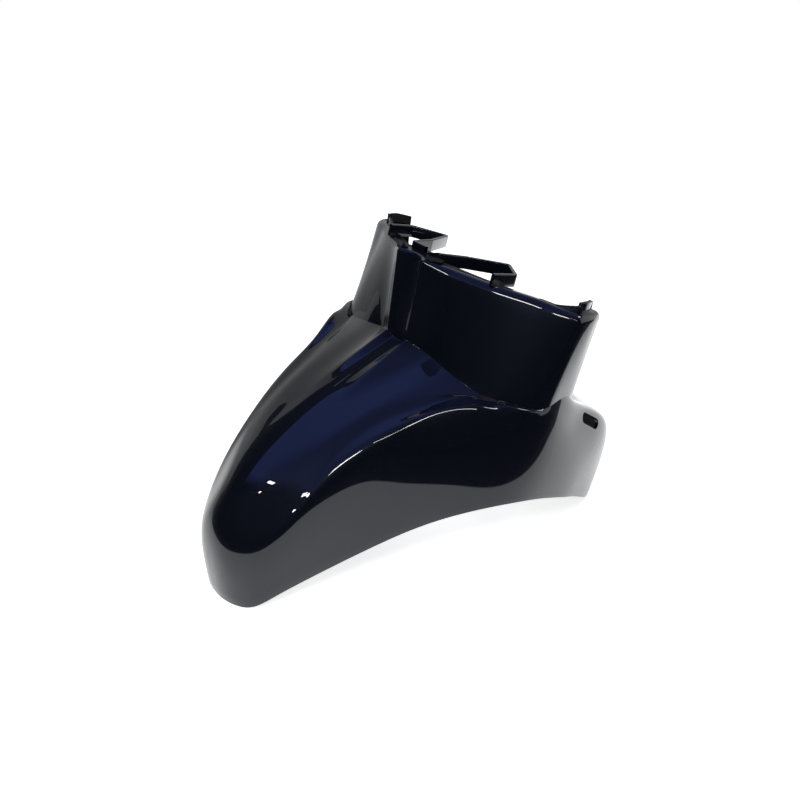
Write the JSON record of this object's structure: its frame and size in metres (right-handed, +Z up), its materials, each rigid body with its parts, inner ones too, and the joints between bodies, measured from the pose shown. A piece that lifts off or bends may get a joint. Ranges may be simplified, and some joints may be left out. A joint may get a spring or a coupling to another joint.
{
  "type": "scooter front mudguard",
  "caption": "Gloss dark blue-black moulded front mudguard for a scooter: rounded hood over the wheel, two fork pods with a channel between them, and a short tail.",
  "frame": {"origin": "middle of the guard's box at the height of its feet, under the collar", "axes": "-X towards the nose in the direction of travel, +Z up, the guard is the same on both sides of Y = 0"},
  "size_m": [0.3567, 0.2548, 0.2409],
  "materials": {
    "gloss_paint": "very dark navy-black paint with a faint metallic blue under a clear gloss coat, clean and new"
  },
  "bodies": {
    "root": {"mudguard": "gloss_paint"}
  },
  "joints": []
}
